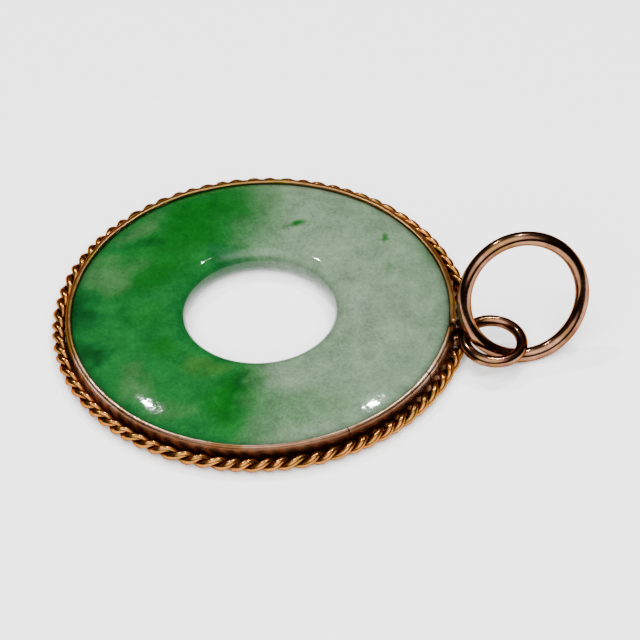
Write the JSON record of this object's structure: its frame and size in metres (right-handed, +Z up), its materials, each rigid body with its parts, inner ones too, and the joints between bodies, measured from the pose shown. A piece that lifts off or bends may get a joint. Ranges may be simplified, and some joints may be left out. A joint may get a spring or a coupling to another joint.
{
  "type": "jade bi disc pendant",
  "caption": "Round flat jade ring with a central hole, held in a plain gold band edged with twisted wire, with a small ring and a large hanging ring.",
  "frame": {"origin": "on the ground under the middle of the whole pendant, rings included", "axes": "+Z up out of the disc's front; +X from the disc's centre towards the small ring; +Y completes the right-handed frame"},
  "size_m": [0.0482, 0.038, 0.0112],
  "materials": {
    "jade": "polished translucent stone, vivid green on one side and pale grey-green on the other",
    "band_gold": "worn polished reddish gold",
    "rope_gold": "bright orange gold wire, dark in the grooves",
    "ring_gold": "polished rose gold"
  },
  "bodies": {
    "root": {"jade_disc": "jade", "gold_band": "band_gold", "rope_wire_1": "rope_gold", "rope_wire_2": "rope_gold", "small_ring": "ring_gold", "large_ring": "ring_gold"}
  },
  "joints": []
}
